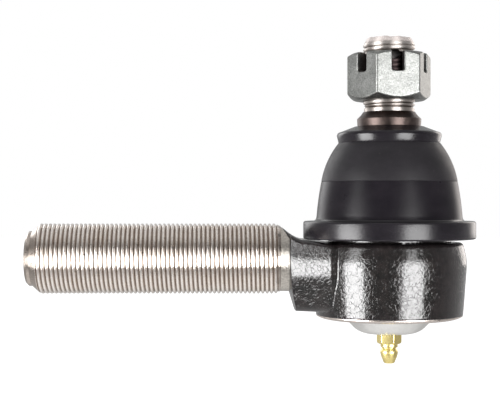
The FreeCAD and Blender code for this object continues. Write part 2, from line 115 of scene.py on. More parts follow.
HEAD_TOP = 6.0
HEAD_TOP_RADIUS = 26.5
HEAD_RADIUS = housing_high.x
HEAD_FOOT = -20.1
PARTING_HEIGHT = -0.6
PARTING_EDGE = 0.8
TOP_EDGE = 1.6
BOSS_RADIUS = 22.0
BOSS_TOP = housing_high.z
SOCKET_RADIUS = 17.6
MOUTH_CORNER = (13.9, 8.45)
MOUTH_FLARE = math.radians(21.1)
MOUTH_FOOT = 8.0
COVER_SEAT_RADIUS = cover_high.x + 0.05
COVER_SEAT_HEIGHT = cover_high.z
LIP_TOP = -20.3
LIP_EDGE = 0.4
LIP_FOOT = -21.6
LIP_RADIUS = 21.8
LIP_CURVE = 7.0
GAP_UNDER_FLANGE = 0.25
GAP_BESIDE_FLANGE = 0.3
TAIL_FILLET = 0.5
FORGING_LOW = (-40.5, -28.6, -20.4)
FORGING_HIGH = (28.6, 28.6, 14.6)

PAINT_END = -36.4
PAINT_STEP = 0.16
PAINT_EDGE = 0.6
PAINT_FLARE = 3.5
TAIL_INNER_END = -20.0
TAIL_FOOT = -18.4
TAIL_FOOT_EDGE = 2.4
TAIL_END_EDGE = 0.3
TAIL_HALF_WIDTH = 12.6
TAIL_ROOT_HALF_WIDTH = 19.4
TAIL_FLARE = 0.47
TAIL_TOP_HEIGHT = 12.6
TAIL_TOP_FALL = 5.6
TAIL_TOP_START = -40.2
TAIL_TOP_RUN = 9.6
TAIL_TOP_SLOPE = 0.14
UPPER_SHOULDER = ((PAINT_END, 7.2), (-4.7, -3.0))
LOWER_SHOULDER = ((PAINT_END, -11.9), (-6.4, -2.0))
LAND_TOP = 0.6
LAND_FOOT = -5.0
LAND_EDGES = (0.5, 0.9)
UPPER_FLANK_DRAFT = math.radians(13)
LOWER_FLANK_DRAFT = math.radians(17)

COVER_THICKNESS = 2.0
COVER_FOOT = cover_high.z - COVER_THICKNESS
DOME_RADIUS = 16.0
DOME_DRAFT = 5.2
FITTING_BORE = 3.2
SEAT_CLEARANCE = 0.12

HEX_HALF_FLATS = 3.97
HEX_TOP = -27.0
HEX_FOOT = -30.8
HEX_FACE_ANGLE = -TURN / 4 - math.radians(14)
HEX_CHAMFER = (3.9, HEX_FOOT)
FITTING_SHANK = (3.1, -32.0, -24.0)
FITTING_NECK = (2.55, -35.6, -30.4)
FITTING_NECK_FOOT = -32.7
BUTTON_RADIUS = 3.27
BUTTON_SHOULDER = (2.7, FITTING_NECK_FOOT)
BUTTON_WAIST = -34.3
INLET_RADIUS = 0.85
INLET_CUP_RADIUS = 1.25
INLET_CUP_DEPTH = 0.75
FITTING_LOW = (-4.7, -4.7, -38.0)
FITTING_HIGH = (4.7, 4.7, -23.7)

BALL_RADIUS = stud_high.x
STUD_NECK_RADIUS = 9.5
STUD_NECK_HEIGHT = 20.0
TAPER_FOOT = 27.0
TAPER_TOP = 50.4
TAPER_TOP_RADIUS = 11.6
TAPER_SLOPE = 0.125 / 2
STUD_RADIUS = 9.4
STUD_SHOULDER = 53.0
STUD_THREAD_FOOT = 54.7
STUD_PLAIN_RADIUS = 9.1
PIP_HEIGHT = 0.4
PIP_RADIUS = 3.0
STUD_TOP = stud_high.z - PIP_HEIGHT - 0.5
STUD_END_RADIUS = 7.95
STUD_END_CHAMFER = 2.8
STUD_PLAIN_END = 2.1
RAGGED_LENGTH = 0.9
RAGGED_SIZE = 2.2

NUT_FOOT = nut_low.z
NUT_TOP = nut_high.z
NUT_HALF_FLATS = 13.5
NUT_TOP_CHAMFER = (13.1, math.radians(30))
NUT_FOOT_CHAMFER = (12.7, math.radians(38))
NUT_FACE_ANGLE = math.atan2(cotter_mount["axis"][1], cotter_mount["axis"][0])
NUT_BORE_RADIUS = STUD_RADIUS + 0.05
NUT_SINK_RADIUS = STUD_RADIUS + 0.75
SLOT_HALF_WIDTH = 2.3
SLOT_DEPTH = 7.3
SLOT_CORNER = 1.1

FLANGE_FOOT = 7.1
FLANGE_TOP = 13.6
FLANGE_RADIUS = boot_high.x
BELL_FOOT = (26.3, 15.1)
BELL_CREASE = (24.55, 27.8)
BELL_GROOVE = (18.4, 41.7)
BELL_CURVE = 110.0
DOME_CURVE = 30.0
BOOT_LIP_RADIUS = 18.9
BOOT_LIP_HEIGHT = 45.6
BOOT_LIP_CURVE = 1.3
BOOT_SEAL_FOOT = 41.0
BOOT_TOP = boot_high.z
BOOT_WALL = 2.6
BOOT_GAP = 0.1


# ---- Meshes ----
def make_piece(name, points, faces, body, slot, material, replaced=(), sharp=30):
    """A piece from points in millimetres: welded, smooth apart from its sharp edges, riding a body."""
    mesh = bpy.data.meshes.new(name)
    mesh.from_pydata((np.asarray(points) * MM).tolist(), [], [list(face) for face in faces])
    weld(mesh)
    mesh.shade_smooth()
    mesh.set_sharp_from_angle(angle=math.radians(sharp))
    mesh.materials.append(material)
    piece = bpy.data.objects.new(name, mesh)
    bpy.context.scene.collection.objects.link(piece)
    if body is not None:
        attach(piece, body)
    if replaced:
        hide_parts(*replaced)
    return piece


def weld(mesh):
    """Joins points that coincide, drops faces that this closes, and turns every face outwards."""
    work = bmesh.new()
    work.from_mesh(mesh)
    bmesh.ops.remove_doubles(work, verts=work.verts, dist=WELD_DISTANCE * MM)
    bmesh.ops.dissolve_degenerate(work, edges=work.edges, dist=WELD_DISTANCE * MM)
    bmesh.ops.recalc_face_normals(work, faces=work.faces)
    work.to_mesh(mesh)
    work.free()


def bow(start, end, radius, steps=12):
    """Points along an arc between start and end. A plus radius puts its centre left of the way."""
    start, end = Vector(start), Vector(end)
    chord = end - start
    left = Vector((-chord.y, chord.x)).normalized()
    side = math.copysign(1, radius)
    middle = (start + end) / 2 + left * side * math.sqrt(radius**2 - chord.length_squared / 4)
    first = start - middle
    sweep = side * 2 * math.asin(chord.length / 2 / abs(radius))
    arc = []
    for step in range(1, steps):
        turn = sweep * step / steps
        cosine, sine = math.cos(turn), math.sin(turn)
        offset = Vector((first.x * cosine - first.y * sine, first.x * sine + first.y * cosine))
        arc.append(tuple(middle + offset))
    return arc


def rounded(corners, steps=6):
    """A closed outline from (across, up) corners. A third member rounds the corner to that radius."""
    outline = []
    for index, corner in enumerate(corners):
        here = Vector(corner[:2])
        if len(corner) == 2:
            outline.append(tuple(here))
            continue
        to_last = (Vector(corners[index - 1][:2]) - here).normalized()
        to_next = (Vector(corners[(index + 1) % len(corners)][:2]) - here).normalized()
        half = to_last.angle(to_next) / 2
        start = here + to_last * corner[2] / math.tan(half)
        end = here + to_next * corner[2] / math.tan(half)
        side = math.copysign(1, to_next.x * to_last.y - to_next.y * to_last.x)
        outline.append(tuple(start))
        outline.extend(bow(start, end, side * corner[2], steps))
        outline.append(tuple(end))
    return outline


def turned(outline, steps=LATHE_STEPS):
    """Points and faces of a closed (radius, height) outline turned about Z."""
    outline = np.array(outline)
    angles = np.arange(steps) * TURN / steps
    radii, heights = outline[:, 0], outline[:, 1]
    points = np.empty((steps, len(outline), 3))
    points[..., 0] = np.cos(angles)[:, None] * radii
    points[..., 1] = np.sin(angles)[:, None] * radii
    points[..., 2] = heights
    count = len(outline)
    here = np.arange(steps)[:, None] * count
    after = (np.arange(steps)[:, None] + 1) % steps * count
    first = np.arange(count)
    second = (first + 1) % count
    faces = np.stack([here + first, after + first, after + second, here + second], axis=-1)
    return points.reshape(-1, 3), faces.reshape(-1, 4)


def thread_drop(share):
    """How deep the thread is, from 0 on its crest to 1 at its root, at a share of its pitch."""
    wave = 1 - np.abs(2 * share - 1)
    slope = np.clip((wave - CREST_FLAT) / (1 - CREST_FLAT - ROOT_FLAT), 0, 1)
    crown = np.clip(wave / CREST_FLAT, 0, 1) ** 2 * CREST_CROWN
    return crown + (1 - CREST_CROWN) * slope


def helix(low, high, crest, limit, plain_end=0.0):
    """An open right-hand thread along Z, held inside limit(height), with a plain end if asked."""
    turns = math.ceil((high - low) / PITCH) + 3
    steps = THREAD_STEPS
    rows = turns * steps
    share = np.arange(PROFILE_STEPS) / PROFILE_STEPS
    row = np.arange(rows)[:, None]
    height = np.clip(low - 1.5 * PITCH + (row / steps + share) * PITCH, low, high)
    depth = THREAD_DEPTH * np.broadcast_to(thread_drop(share), height.shape)
    if plain_end:
        depth = depth * np.clip((high - plain_end - height) / PITCH, 0, 1)
    radius = np.minimum(crest - depth, limit(height))
    angle = row * TURN / steps
    points = np.stack([np.cos(angle) * radius, np.sin(angle) * radius, height], axis=-1)
    index = np.arange(rows * PROFILE_STEPS).reshape(rows, PROFILE_STEPS)
    above = np.concatenate([index[:-steps, 1:], index[steps:, :1]], axis=1)
    here = index[:-steps]
    faces = np.stack([here[:-1], here[1:], above[1:], above[:-1]], axis=-1)
    return points.reshape(-1, 3), faces.reshape(-1, 4)


def strip(outline):
    """An open (radius, height) line turned about Z, to close a thread's ends."""
    points, faces = turned(outline, THREAD_STEPS)
    count = len(outline)
    return points, faces.reshape(THREAD_STEPS, count, 4)[:, :-1].reshape(-1, 4)


def joined(*parts):
    """Several (points, faces) as one."""
    points, faces, start = [], [], 0
    for some_points, some_faces in parts:
        points.append(some_points)
        faces.append(some_faces + start)
        start += len(some_points)
    return np.concatenate(points), np.concatenate(faces)


def smooth_max(first, second, width):
    """The larger of two distances, with the edge where they meet rounded over a width."""
    near = np.maximum(width - np.abs(first - second), 0) / width
    return np.maximum(first, second) + near * near * width / 4


def smooth_min(first, second, width):
    """The smaller of two distances, with the inner corner where they meet filled over a width."""
    return -smooth_max(-first, -second, width)


def gradient(distance, points, reach=0.02):
    """How fast a distance function grows along X, Y and Z at each point."""
    change = np.empty_like(points)
    for axis in range(3):
        step = np.zeros(3)
        step[axis] = reach
        change[:, axis] = (distance(points + step) - distance(points - step)) / (2 * reach)
    return change


def settle(distance, points, rounds=3, furthest=0.25):
    """Moves points onto the surface where a distance function is zero, in short steps."""
    for _ in range(rounds):
        change = gradient(distance, points)
        size = np.maximum(np.linalg.norm(change, axis=1), 0.2)
        step = np.clip(distance(points) / size, -furthest, furthest)
        points = points - change / size[:, None] * step[:, None]
    return points


def even_out(points, faces, share=0.5):
    """Moves each point part of the way to the middle of the faces around it."""
    middle = points[faces].mean(axis=1)
    total = np.zeros_like(points)
    count = np.zeros(len(points))
    for corner in range(4):
        np.add.at(total, faces[:, corner], middle)
        np.add.at(count, faces[:, corner], 1)
    return points + (total / count[:, None] - points) * share


def shaped(distance, low, high, cell):
    """Points and faces of the surface where a distance function is zero, in cells of one size."""
    axes = [np.arange(start - cell, end + 2 * cell, cell) for start, end in zip(low, high)]
    grid = np.stack(np.meshgrid(*axes, indexing="ij"), axis=-1)
    inside = distance(grid.reshape(-1, 3)).reshape(grid.shape[:3]) < 0
    corners = np.zeros([size - 1 for size in inside.shape], int)
    for shift in np.ndindex(2, 2, 2):
        window = tuple(slice(s, s + size) for s, size in zip(shift, corners.shape))
        corners += inside[window]
    crossed = (corners > 0) & (corners < 8)
    index = np.full(corners.shape, -1)
    index[crossed] = np.arange(crossed.sum())
    points = grid[:-1, :-1, :-1][crossed] + cell / 2
    faces = np.concatenate([faces_across(inside, index, axis) for axis in range(3)])
    for _ in range(3):
        points = settle(distance, even_out(points, faces), 2)
    return settle(distance, points), faces


def faces_across(inside, index, axis):
    """One face round each grid edge along an axis that goes in or out of the solid."""
    order = (axis, (axis + 1) % 3, (axis + 2) % 3)
    solid = np.transpose(inside, order)
    cells = np.transpose(index, order)
    i, j, k = np.nonzero(solid[:-1, 1:-1, 1:-1] != solid[1:, 1:-1, 1:-1])
    faces = np.stack([cells[i, j, k], cells[i, j + 1, k], cells[i, j + 1, k + 1], cells[i, j, k + 1]], 1)
    leaving = solid[i, j + 1, k + 1]
    return np.where(leaving[:, None], faces, faces[:, ::-1])


def roughened(points, distance, amount, size, seed):
    """Moves points in and out along the surface's slope by a smooth random height."""
    normal = gradient(distance, points)
    normal /= np.maximum(np.linalg.norm(normal, axis=1, keepdims=True), 0.2)
    start = Vector((seed, seed, seed))
    height = [noise.noise(Vector(point) / size + start) for point in points]
    return points + normal * (amount * np.array(height))[:, None]


# ---- Materials ----
def add_node(tree, kind, inputs=(), **settings):
    """A shader node with its settings, and with each input set or linked."""
    node = tree.nodes.new(kind)
    for name, value in settings.items():
        setattr(node, name, value)
    for name, value in dict(inputs).items():
        if isinstance(value, bpy.types.NodeSocket):
            tree.links.new(value, node.inputs[name])
        else:
            node.inputs[name].default_value = value
    return node


def new_material(name, **sockets):
    """A material with a Principled shader, with constant values set on the shader's own sockets."""
    material = bpy.data.materials.new(name)
    material.use_nodes = True
    tree = material.node_tree
    tree.nodes.clear()
    shader = add_node(tree, "ShaderNodeBsdfPrincipled", sockets)
    output = add_node(tree, "ShaderNodeOutputMaterial")
    tree.links.new(shader.outputs["BSDF"], output.inputs["Surface"])
    return material, tree, shader


def link_surface(tree, shader, colour, roughness, normal):
    """Gives a shader its colour, its roughness and its bumped normal."""
    for socket, value in (("Base Color", colour), ("Roughness", roughness), ("Normal", normal)):
        tree.links.new(value, shader.inputs[socket])


def place(tree):
    """Where a point is on its piece, in metres."""
    return add_node(tree, "ShaderNodeTexCoord").outputs["Object"]


def grain(tree, size, detail=4.0, roughness=0.6, stretch=(1, 1, 1)):
    """Random light and dark patches of about one size, in millimetres."""
    scaled = add_node(tree, "ShaderNodeMapping", {"Vector": place(tree), "Scale": stretch})
    inputs = {
        "Vector": scaled.outputs["Vector"],
        "Scale": 1 / (size * MM),
        "Detail": detail,
        "Roughness": roughness,
    }
    return add_node(tree, "ShaderNodeTexNoise", inputs).outputs["Fac"]


def remapped(tree, value, low, high, new_low=0.0, new_high=1.0):
    """A value between two limits, spread over two new ones."""
    inputs = {"Value": value, "From Min": low, "From Max": high, "To Min": new_low, "To Max": new_high}
    return add_node(tree, "ShaderNodeMapRange", inputs).outputs["Result"]


def patchy(tree, size, detail, limits):
    """A number that wanders between two limits in patches of about one size."""
    return remapped(tree, grain(tree, size, detail), 0.3, 0.7, *limits)


def ramp(tree, value, stops):
    """A colour that follows a value through (place, colour) stops."""
    node = add_node(tree, "ShaderNodeValToRGB", {"Fac": value})
    elements = node.color_ramp.elements
    while len(elements) < len(stops):
        elements.new(0.5)
    for element, (position, colour) in zip(elements, stops):
        element.position = position
        element.color = (*colour, 1)
    return node.outputs["Color"]


def mixed(tree, share, first, second, blend="MIX"):
    """Two colours mixed by a share."""
    inputs = {0: share, 6: first, 7: second}
    return add_node(tree, "ShaderNodeMix", inputs, data_type="RGBA", blend_type=blend).outputs[2]


def combined(tree, operation, first, second):
    """Two numbers combined by a math operation."""
    return add_node(tree, "ShaderNodeMath", {0: first, 1: second}, operation=operation).outputs[0]


def bumped(tree, height, depth, under=None):
    """A surface bumped by a height map, with its full depth in millimetres."""
    inputs = {"Height": height, "Distance": depth * MM}
    if under is not None:
        inputs["Normal"] = under
    return add_node(tree, "ShaderNodeBump", inputs).outputs["Normal"]


def distance_from_axis(tree, flat):
    """A point's distance in metres from an axis. flat holds 1 across the axis and 0 along it."""
    across = add_node(tree, "ShaderNodeVectorMath", {0: place(tree), 1: flat}, operation="MULTIPLY")
    length = add_node(tree, "ShaderNodeVectorMath", {0: across.outputs[0]}, operation="LENGTH")
    return length.outputs["Value"]


def height_of(tree, axis="Z"):
    """A point's place along one axis, in metres."""
    return add_node(tree, "ShaderNodeSeparateXYZ", {"Vector": place(tree)}).outputs[axis]


def between(tree, value, low, high):
    """A value in metres, spread from 0 to 1 between two limits in millimetres."""
    return remapped(tree, value, low * MM, high * MM)


BRUSHED = {"Metallic": 1.0, "Anisotropic": 0.9, "Anisotropic Rotation": 0.25}


def brush_around(tree, shader, axis):
    """Turns a shader's brushed sheen round an axis."""
    around = add_node(tree, "ShaderNodeTangent", direction_type="RADIAL", axis=axis)
    tree.links.new(around.outputs["Tangent"], shader.inputs["Tangent"])


def threaded_steel(name, axis, crest_radius, tones, rough, worked_end):
    """Bare rolled steel thread: bright crests, roots darkened with painted shade, faint stains and a
    worked end.
    """
    shaded_root_tone, crest_tone, stain_tone = tones
    material, tree, shader = new_material(name, **BRUSHED)
    brush_around(tree, shader, axis)
    flat = (1, 1, 0) if axis == "Z" else (0, 1, 1)
    lift = between(tree, distance_from_axis(tree, flat), crest_radius - THREAD_DEPTH, crest_radius)
    # Painted shade: the root tone darkens the thread grooves by their radius.
    steel = ramp(tree, lift, [(0.0, shaded_root_tone), (0.1, shaded_root_tone), (0.75, crest_tone)])
    stains = remapped(tree, grain(tree, 9.0, 5.0), 0.45, 0.75, 0.0, 0.55)
    colour = mixed(tree, stains, steel, (*stain_tone, 1), "MULTIPLY")
    colour = mixed(tree, 1.0, colour, patchy(tree, 0.5, 2.0, (0.88, 1.08)), "MULTIPLY")
    colour = worked_end(tree, shader, colour)
    normal = bumped(tree, grain(tree, 0.35, 3.0), 0.012)
    link_surface(tree, shader, colour, patchy(tree, 1.6, 4.0, rough), normal)
    return material


def shaded_sheared_stud_end(tree, shader, colour):
    """Painted shade on the thread inside the nut, and a paler, duller end where the bar was cropped."""
    inside_nut = between(tree, height_of(tree), NUT_TOP, NUT_TOP - 0.5)
    above_foot = between(tree, height_of(tree), NUT_FOOT, NUT_FOOT + 1)
    painted_nut_shade = combined(tree, "MULTIPLY", inside_nut, above_foot)
    # Painted shade: the thread is darkened where it sits inside the nut.
    colour = mixed(tree, painted_nut_shade, colour, (0.075, 0.055, 0.055, 1))
    sheared = between(tree, height_of(tree), STUD_TOP - STUD_PLAIN_END, STUD_TOP - 1.5)
    tree.links.new(remapped(tree, sheared, 0.0, 1.0, 1.0, 0.4), shader.inputs["Metallic"])
    return mixed(tree, sheared, colour, (0.5, 0.45, 0.43, 1))


def shaded_sawn_shank_end(tree, shader, colour):
    """Darker steel on the sawn end face: painted shade that dims its glare."""
    # Painted shade: the end face is darkened to dim its glare.
    painted_end_shade = between(tree, height_of(tree, "X"), 0.2 - SHANK_REACH, 0.05 - SHANK_REACH)
    return mixed(tree, painted_end_shade, colour, (0.3, 0.27, 0.25, 1))


def blasted_steel(name, colour_dark, colour_light, size, depth, rough=(0.34, 0.5), **sockets):
    """Grainy steel, blasted or plated: fine sparkle, uneven tone and a frosted surface."""
    material, tree, shader = new_material(name, **{"Metallic": 1.0, **sockets})
    fine = grain(tree, size, 5.0, 0.7)
    broad = grain(tree, size * 14, 3.0)
    sparkle = combined(tree, "MULTIPLY", fine, 0.7)
    both = combined(tree, "ADD", sparkle, combined(tree, "MULTIPLY", broad, 0.3))
    colour = ramp(tree, both, [(0.3, colour_dark), (0.68, colour_light)])
    roughness = remapped(tree, broad, 0.3, 0.7, *rough)
    link_surface(tree, shader, colour, roughness, bumped(tree, fine, depth))
    return material


def black_paint():
    """Glossy black paint over forging skin: orange peel, and creases that fade out in places."""
    coat = {"Specular IOR Level": 0.6, "Coat Weight": 0.2, "Coat Roughness": 0.06}
    material, tree, shader = new_material("black_paint", **coat)
    shades = [(0.3, (0.004, 0.0034, 0.0036)), (0.75, (0.0125, 0.0098, 0.0095))]
    tone = ramp(tree, grain(tree, 3.0, 5.0), shades)
    gloss = remapped(tree, grain(tree, 1.1, 4.0), 0.36, 0.66, 0.07, 0.26)
    cell = 1.5 * MM
    wander = add_node(tree, "ShaderNodeTexNoise", {"Vector": place(tree), "Scale": 1 / cell})
    inputs = {0: wander.outputs["Color"], 1: (1.6 * MM,) * 3, 2: place(tree)}
    warped = add_node(tree, "ShaderNodeVectorMath", inputs, operation="MULTIPLY_ADD")
    cells = {"Vector": warped.outputs[0], "Scale": 1 / cell}
    edge = add_node(tree, "ShaderNodeTexVoronoi", cells, feature="DISTANCE_TO_EDGE").outputs["Distance"]
    healed = remapped(tree, grain(tree, 2.0, 3.0), 0.42, 0.6)
    creases = bumped(tree, combined(tree, "MAXIMUM", remapped(tree, edge, 0.0, 0.13), healed), 0.032)
    peel = bumped(tree, grain(tree, 0.9, 2.0, 0.5), 0.045, creases)
    link_surface(tree, shader, tone, gloss, bumped(tree, grain(tree, 3.6, 2.0, 0.5), 0.05, peel))
    return material


def boot_rubber(name, rough, gloss=0.33):
    """Moulded black rubber with a soft uneven bloom, specks of dust and a fine grain."""
    material, tree, shader = new_material(name, **{"Specular IOR Level": gloss})
    bloom = grain(tree, 16.0, stretch=(1, 1, 2.2))
    tone = ramp(tree, bloom, [(0.3, (0.005, 0.0042, 0.0058)), (0.72, (0.0105, 0.0088, 0.0112))])
    dust = remapped(tree, grain(tree, 0.7, 3.0), 0.66, 0.8, 0.0, 0.3)
    colour = mixed(tree, dust, tone, (0.07, 0.064, 0.06, 1))
    normal = bumped(tree, grain(tree, 0.8, 3.0), 0.02)
    link_surface(tree, shader, colour, patchy(tree, 5.0, 4.0, rough), normal)
    return material


def lathe_rings(tree, size, depth):
    """A surface with fine rings round Z."""
    return bumped(tree, grain(tree, size, 3.0, stretch=(0.02, 0.02, 1)), depth)


def turned_steel(name, colours, rough, ring=0.35, depth=0.01):
    """Machined or burnished metal with fine rings round its axis and patchy colour."""
    material, tree, shader = new_material(name, Metallic=1.0)
    tone = ramp(tree, grain(tree, 6.0, 5.0), [(0.3, colours[0]), (0.7, colours[1])])
    link_surface(tree, shader, tone, patchy(tree, 2.0, 3.0, rough), lathe_rings(tree, ring, depth))
    return material


def taper_steel():
    """Heat-tinted taper under a film of oil, with painted shade in a band at its top, on the shoulder
    below the thread.
    """
    material, tree, shader = new_material("oiled_taper", Metallic=0.9)
    patches = grain(tree, 4.0, 5.0)
    tint = ramp(tree, patches, [(0.3, (0.035, 0.026, 0.024)), (0.7, (0.1, 0.075, 0.067))])
    # Painted shade: a dark band on the shoulder at the top of the taper.
    top = between(tree, height_of(tree), TAPER_TOP + 0.9, TAPER_TOP + 1.8)
    colour = mixed(tree, top, tint, (0.035, 0.022, 0.018, 1))
    rough = remapped(tree, patches, 0.3, 0.7, 0.3, 0.46)
    link_surface(tree, shader, colour, rough, lathe_rings(tree, 0.35, 0.012))
    return material


def plain_polymer(name, dark, light, rough):
    """Moulded bearing plastic with faint mottling."""
    material, tree, shader = new_material(name)
    colour = ramp(tree, grain(tree, 3.0), [(0.3, dark), (0.7, light)])
    normal = bumped(tree, grain(tree, 0.4), 0.01)
    link_surface(tree, shader, colour, patchy(tree, 1.0, 4.0, rough), normal)
    return material


# ---- The forging ----
def half_plane(across, up, point, normal):
    """Distance past a line through a point, along the line's normal."""
    length = math.hypot(*normal)
    return ((across - point[0]) * normal[0] + (up - point[1]) * normal[1]) / length


def bar_distance(radius, z, size, foot, top):
    """Distance to a round bar of one radius from its foot to its top."""
    return np.maximum(radius - size, np.maximum(z - top, foot - z))


def head_distance(radius, z):
    """The round head: flat top, a draft each side of its parting line, and an open foot."""
    rise = HEAD_TOP - PARTING_HEIGHT
    drop = PARTING_HEIGHT - HEAD_FOOT
    inset = HEAD_RADIUS - HEAD_TOP_RADIUS
    upper = half_plane(radius, z, (HEAD_RADIUS, PARTING_HEIGHT), (rise, inset))
    lower = half_plane(radius, z, (HEAD_RADIUS, PARTING_HEIGHT), (drop, -inset))
    side = smooth_max(upper, lower, PARTING_EDGE)
    body = smooth_max(smooth_max(side, z - HEAD_TOP, TOP_EDGE), LIP_TOP - z, LIP_EDGE)
    return np.minimum(body, bar_distance(radius, z, BOSS_RADIUS, LIP_TOP, BOSS_TOP))


def tail_top(x):
    """Height of the tail's concave top, where the forging falls from the shank to the head."""
    fall = np.clip((x - TAIL_TOP_START) / TAIL_TOP_RUN, 0, 1)
    beyond = np.maximum(x - TAIL_TOP_START - TAIL_TOP_RUN, 0)
    return TAIL_TOP_HEIGHT - TAIL_TOP_FALL * np.sin(fall * math.pi / 2) - TAIL_TOP_SLOPE * beyond


def drafted_flank(side, z, half_width, edge, draft):
    """Distance past a flank that leans in by its draft from an edge of the land."""
    lean = half_plane(side, z, (0, edge), (math.cos(draft), math.sin(draft)))
    return lean - half_width * math.cos(draft)


def tail_distance(x, y, z):
    """The flattened tail between shank and head: two drafted flanks and an upright land between."""
    flare = TAIL_HALF_WIDTH + (x - PAINT_END) * TAIL_FLARE
    half_width = np.clip(flare, TAIL_HALF_WIDTH, TAIL_ROOT_HALF_WIDTH)
    side = np.abs(y)
    upper = drafted_flank(side, z, half_width, LAND_TOP, UPPER_FLANK_DRAFT)
    lower = drafted_flank(side, z, half_width, LAND_FOOT, -LOWER_FLANK_DRAFT)
    upper_edge, lower_edge = LAND_EDGES
    flank = smooth_max(smooth_max(upper, side - half_width, upper_edge), lower, lower_edge)
    section = smooth_max(smooth_max(flank, z - tail_top(x), TOP_EDGE), TAIL_FOOT - z, TAIL_FOOT_EDGE)
    neck = np.hypot(y, z) - (NECK_RADIUS + PAINT_STEP + PAINT_FLARE * np.maximum(x - PAINT_END, 0))
    section = smooth_max(section, neck, PAINT_EDGE)
    upper_shoulder = half_plane(x, z, *UPPER_SHOULDER)
    lower_shoulder = half_plane(x, z, *LOWER_SHOULDER)
    end = np.maximum(np.minimum(PAINT_END - x, upper_shoulder), lower_shoulder)
    return smooth_max(smooth_max(section, end, TAIL_END_EDGE), x - TAIL_INNER_END, TAIL_END_EDGE)


def cavity_distance(radius, z):
    """The space inside: ball socket, bore, cover seat and the mouth that the stud swings in."""
    socket = np.hypot(radius, z) - SOCKET_RADIUS
    bore = np.maximum(radius - SOCKET_RADIUS, z)
    seat = np.maximum(radius - COVER_SEAT_RADIUS, z - COVER_SEAT_HEIGHT)
    mouth = half_plane(radius, z, MOUTH_CORNER, (1.0, -math.tan(MOUTH_FLARE)))
    mouth = np.maximum(mouth, MOUTH_FOOT - z)
    return np.minimum(np.minimum(socket, bore), np.minimum(seat, mouth))


def forging_distance(points):
    """The painted forging: head and tail blended together, hollow inside."""
    x, y, z = points.T
    radius = np.hypot(x, y)
    outside = smooth_min(head_distance(radius, z), tail_distance(x, y, z), TAIL_FILLET)
    under_flange = np.minimum(radius - BOSS_RADIUS, FLANGE_RADIUS + GAP_BESIDE_FLANGE - radius)
    outside = np.maximum(outside, np.minimum(under_flange, z - FLANGE_FOOT + GAP_UNDER_FLANGE))
    return np.maximum(outside, -cavity_distance(radius, z))


def make_forging():
    """Black-painted head and tail."""
    points, faces = shaped(forging_distance, FORGING_LOW, FORGING_HIGH, FORGING_CELL)
    points = roughened(points, forging_distance, amount=0.025, size=5.5, seed=3.0)
    points = roughened(points, forging_distance, amount=0.014, size=1.9, seed=8.0)
    paint = black_paint()
    make_piece("painted_forging", points, faces, "housing", "black_paint", paint, sharp=70)


def shank_limit(reach):
    """Largest radius of the shank's thread: a lead cone at the free end and a run-out at the neck."""
    thread_end = SHANK_REACH - PILOT_LENGTH
    lead = PILOT_RADIUS + (thread_end - reach) * (SHANK_RADIUS - PILOT_RADIUS + 0.1) / LEAD_LENGTH
    runout = NECK_RADIUS + (reach - NECK_START) * (THREAD_DEPTH + 0.1) / RUNOUT_LENGTH
    return np.minimum(lead, runout)


def along_shank(points):
    """Turns points built along Z so that they run along -X."""
    return np.stack([-points[:, 2], points[:, 1], points[:, 0]], axis=1)


def make_shank():
    """Bare threaded shank with its turned pilot."""
    thread_end = SHANK_REACH - PILOT_LENGTH
    thread = helix(NECK_START, thread_end, SHANK_RADIUS, shank_limit)
    end_face = (PILOT_RADIUS - PILOT_CHAMFER, SHANK_REACH)
    pilot_edge = (PILOT_RADIUS, SHANK_REACH - PILOT_CHAMFER)
    pilot = strip([(PILOT_RADIUS, thread_end), pilot_edge, end_face, (0, SHANK_REACH)])
    inner = strip([(0, NECK_START), (NECK_RADIUS, NECK_START)])
    points, faces = joined(thread, pilot, inner)
    # The first tone is painted shade for the thread roots.
    tones = ((0.5, 0.44, 0.395), (0.9, 0.84, 0.79), (0.8, 0.73, 0.66))
    steel = threaded_steel("bare_shank", "X", SHANK_RADIUS, tones, (0.25, 0.34), shaded_sawn_shank_end)
    make_piece("threaded_shank", along_shank(points), faces, "housing", "bare_steel", steel)


def make_neck():
    """Short blasted neck between the thread and the paint, partly inside the tail."""
    stations = np.linspace(NECK_START, NECK_INNER_END, 24)
    outline = [(0, NECK_START), *((NECK_RADIUS, reach) for reach in stations), (0, NECK_INNER_END)]
    points, faces = turned(outline)
    points = along_shank(points)
    points[:, 2] = np.minimum(points[:, 2], tail_top(points[:, 0]) - 0.25)
    tones = ((0.32, 0.295, 0.265), (0.86, 0.81, 0.74))
    skin = blasted_steel("blasted_neck", *tones, 0.7, 0.08, (0.36, 0.5), **BRUSHED)
    brush_around(skin.node_tree, skin.node_tree.nodes["Principled BSDF"], "X")
    make_piece("shank_neck", points, faces, "housing", "bare_steel", skin)


def make_lip():
    """Bare edge of the head, rolled over the cover plate."""
    top = LIP_TOP + 0.25
    outer = (HEAD_TOP_RADIUS - 0.12, LIP_TOP - 0.2)
    foot = (LIP_RADIUS + 0.9, LIP_FOOT)
    curve = bow(outer, foot, -LIP_CURVE)
    inner = [(LIP_RADIUS, LIP_FOOT + 0.35), (LIP_RADIUS, COVER_FOOT), (COVER_SEAT_RADIUS, COVER_FOOT)]
    outline = [(outer[0], top), outer, *curve, foot, *inner, (COVER_SEAT_RADIUS, top)]
    colours = ((0.6, 0.52, 0.47), (0.78, 0.7, 0.65))
    steel = turned_steel("rolled_steel", colours, (0.24, 0.4), ring=0.5, depth=0.02)
    make_piece("rolled_lip", *turned(outline), "housing", "bare_steel", steel, ["housing"])


